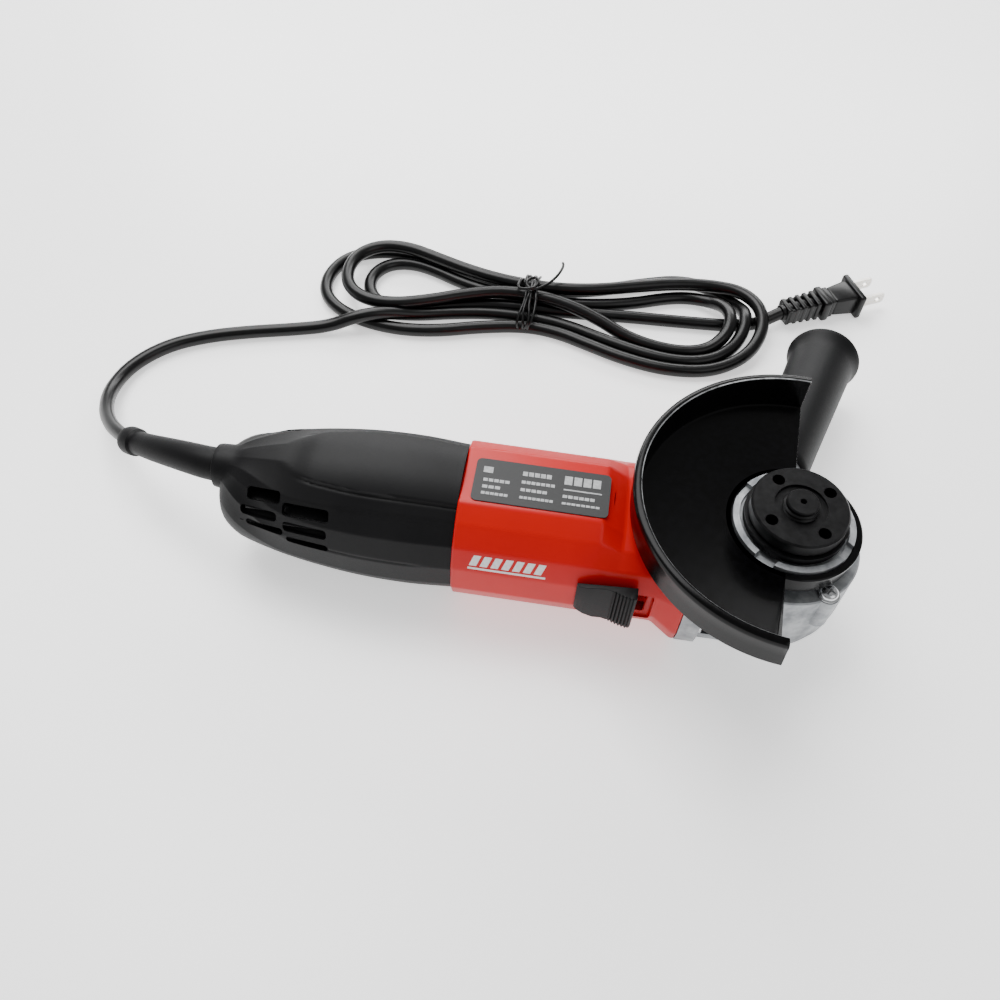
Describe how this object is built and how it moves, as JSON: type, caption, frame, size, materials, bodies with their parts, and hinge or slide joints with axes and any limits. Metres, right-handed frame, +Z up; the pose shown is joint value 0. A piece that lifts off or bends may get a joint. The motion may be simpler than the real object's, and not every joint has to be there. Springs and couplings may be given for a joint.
{
  "type": "angle grinder",
  "caption": "Corded angle grinder lying on its gear head, with a half-round wheel guard, a side handle, a slide switch and its cord tied in a hank.",
  "frame": {"origin": "where the spindle's axis meets the surface that the tool lies on, on the flat crown of the gear case", "axes": "+Z up along the spindle, +X from the cord end towards the gear head, -Y the side with the slide switch"},
  "size_m": [0.3876, 0.2782, 0.075],
  "materials": {
    "cast_metal": "satin",
    "plain_steel": "satin",
    "bright_steel": "polished",
    "black_steel": "satin",
    "black_paint": "gloss",
    "red_plastic": "satin gloss",
    "black_plastic": "fine texture",
    "label": "matte",
    "grip": "matte",
    "rubber": "satin",
    "laminations": "matte",
    "copper": "varnished",
    "brass": "satin",
    "carbon": "matte"
  },
  "bodies": {
    "housing": {"gear_case": "cast_metal", "bearing_box": "cast_metal", "bearing_retainer": "plain_steel", "motor_housing": "red_plastic", "rear_cover": "black_plastic", "label_plate": "label", "stator_core": "laminations", "field_coils": "copper", "fan_baffle": "black_plastic", "front_bearing": "plain_steel", "rear_bearing": "plain_steel", "bearing_sleeve": "rubber", "spindle_bearing": "plain_steel", "needle_bearing": "plain_steel", "bearing_box_screws": "bright_steel", "gear_case_screws": "bright_steel", "rear_cover_screw": "bright_steel", "brush_holders": "brass", "carbon_brushes": "carbon", "brush_springs": "bright_steel", "switch_body": "black_plastic", "cord_clamp": "black_plastic", "cord_clamp_screws": "bright_steel", "cord_guard": "rubber", "power_cord": "rubber", "plug_lead": "rubber", "cord_hank": "rubber", "cord_tie": "rubber", "plug_body": "rubber", "plug_blades": "brass", "lock_spring": "bright_steel"},
    "spindle": {"spindle": "black_steel", "ring_gear": "plain_steel", "inner_flange": "black_steel"},
    "nut": {"lock_nut": "black_steel"},
    "guard": {"wheel_guard": "black_paint", "guard_clamp": "black_paint", "guard_clamp_screw": "bright_steel", "guard_clamp_nut": "bright_steel"},
    "armature": {"armature_shaft": "plain_steel", "armature_core": "laminations", "armature_coils": "copper", "commutator": "copper", "fan": "black_plastic", "pinion": "plain_steel", "pinion_nut": "plain_steel"},
    "handle": {"side_handle": "grip", "handle_stud": "bright_steel"},
    "switch": {"switch_slider": "black_plastic", "switch_rod": "black_plastic"},
    "lock": {"lock_button": "black_plastic", "lock_pin": "plain_steel"}
  },
  "joints": [
    {"name": "armature_spin", "type": "hinge", "parent": "housing", "child": "armature", "pos_m": [0, 0, 0.032], "axis": [1, 0, 0], "continuous": true},
    {"name": "spindle_spin", "type": "hinge", "parent": "housing", "child": "spindle", "pos_m": [0, 0, 0], "axis": [0, 0, 1], "continuous": true},
    {"name": "lock_nut_travel", "type": "slide", "parent": "spindle", "child": "nut", "axis": [0, 0, 1], "range_m": [0, 0.007]},
    {"name": "guard_swing", "type": "hinge", "parent": "housing", "child": "guard", "pos_m": [0, 0, 0.0576], "axis": [0, 0, 1], "range_deg": [-80, 80]},
    {"name": "switch_slide", "type": "slide", "parent": "housing", "child": "switch", "axis": [1, 0, 0], "range_m": [0, 0.006]},
    {"name": "spindle_lock_press", "type": "slide", "parent": "housing", "child": "lock", "axis": [0, 0, 1], "range_m": [0, 0.005], "stiffness_N_per_m": 1500, "springref_m": -0.003, "deforming": ["lock_spring"]},
    {"name": "side_handle_travel", "type": "slide", "parent": "housing", "child": "handle", "axis": [0.3052, 0.9393, -0.1564], "range_m": [0, 0.012]}
  ],
  "couplings": [
    {"joint": "spindle_spin", "follows": "armature_spin", "ratio": 0.32432}
  ]
}
